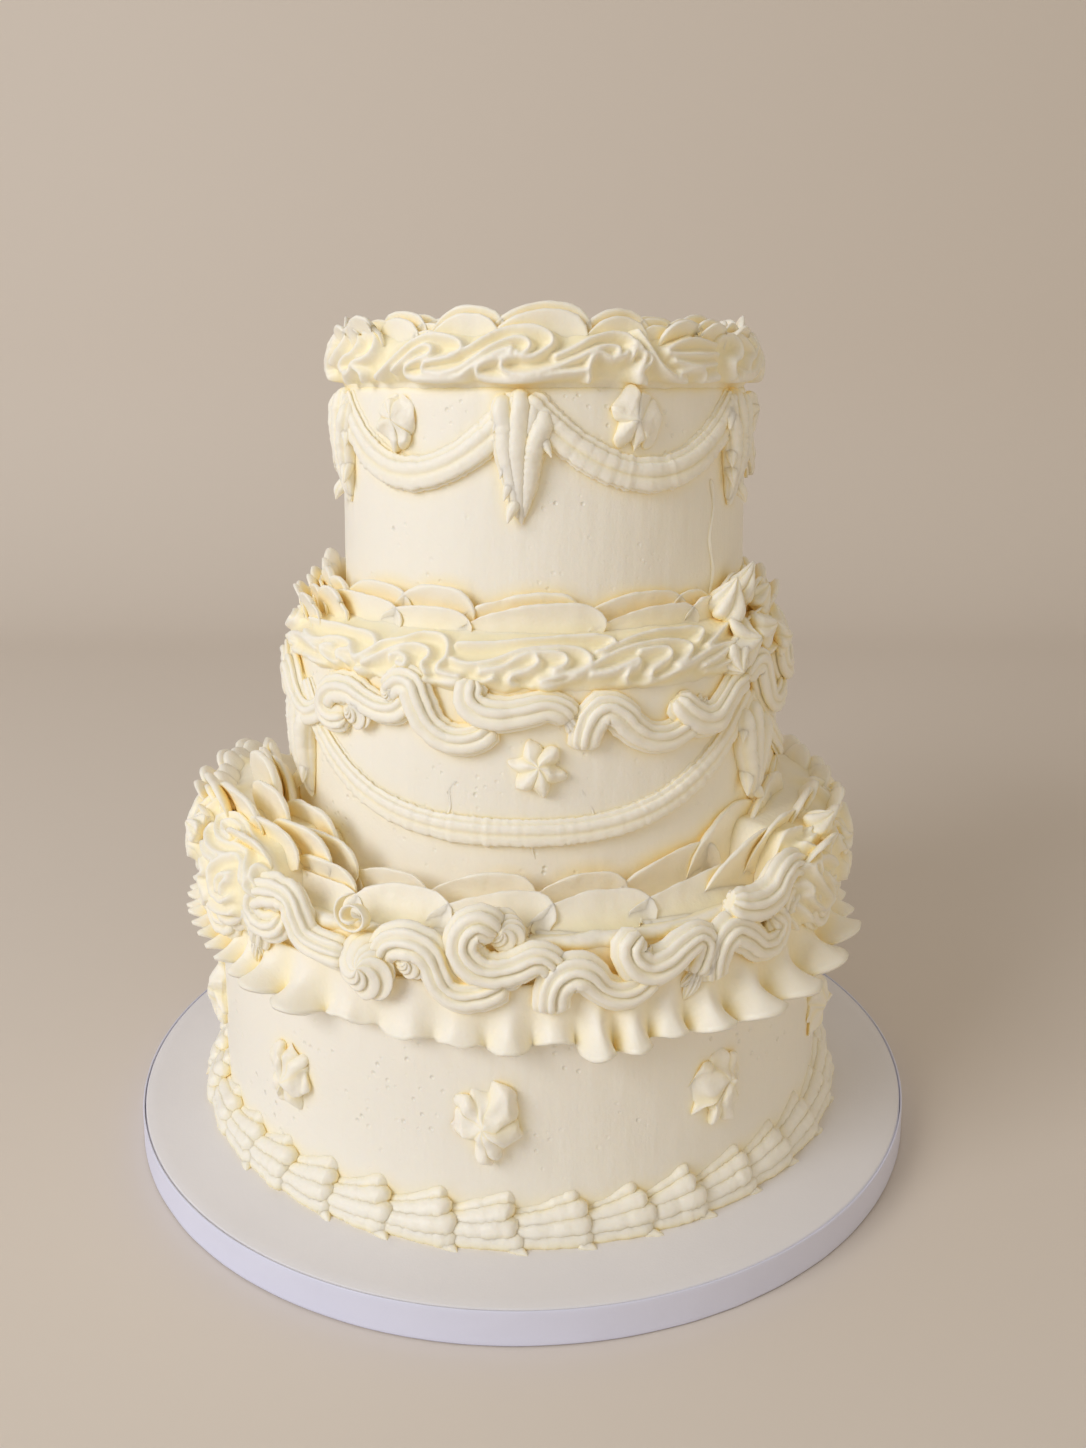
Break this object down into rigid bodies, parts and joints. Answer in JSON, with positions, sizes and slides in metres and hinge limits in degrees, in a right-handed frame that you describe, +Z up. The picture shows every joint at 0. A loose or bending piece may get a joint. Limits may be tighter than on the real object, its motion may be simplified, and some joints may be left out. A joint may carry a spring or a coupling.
{
  "type": "tiered wedding cake",
  "caption": "Round tiered wedding cake in cream buttercream, piped with scrolled ropes, swags, drops, stars, ruffles and a frill, standing on a wrapped round board.",
  "frame": {"origin": "middle of the board's underside, on the surface that the cake stands on", "axes": "+Z up through the board's middle, the cake's front faces -Y, +X to the right as seen from the front"},
  "size_m": [0.33, 0.33, 0.3363],
  "materials": {
    "icing": "smooth spread buttercream, satin",
    "piping": "piped buttercream, satin",
    "board_wrap": "pale grained paper wrap",
    "ribbon": "pale lavender edge strip, slight sheen"
  },
  "bodies": {
    "root": {"board": "board_wrap", "board_ribbon": "ribbon", "crown": "piping", "drop_middle_1": "piping", "drop_middle_2": "piping", "drop_middle_3": "piping", "drop_top_1": "piping", "drop_top_2": "piping", "drop_top_3": "piping", "drop_top_4": "piping", "drop_top_5": "piping", "drop_top_6": "piping", "frill_bottom": "piping", "ruffles_bottom": "piping", "ruffles_middle": "piping", "scroll_bottom": "piping", "scroll_middle": "piping", "shell_border": "piping", "star_bottom_1": "piping", "star_bottom_10": "piping", "star_bottom_2": "piping", "star_bottom_3": "piping", "star_bottom_4": "piping", "star_bottom_5": "piping", "star_bottom_6": "piping", "star_bottom_7": "piping", "star_bottom_8": "piping", "star_bottom_9": "piping", "star_middle_1": "piping", "star_middle_2": "piping", "star_middle_3": "piping", "star_top_1": "piping", "star_top_2": "piping", "star_top_3": "piping", "star_top_4": "piping", "star_top_5": "piping", "star_top_6": "piping", "swag_middle_1": "piping", "swag_middle_2": "piping", "swag_middle_3": "piping", "swag_top_1": "piping", "swag_top_2": "piping", "swag_top_3": "piping", "swag_top_4": "piping", "swag_top_5": "piping", "swag_top_6": "piping", "tier_bottom": "icing", "tier_middle": "icing", "tier_top": "icing"}
  },
  "joints": []
}
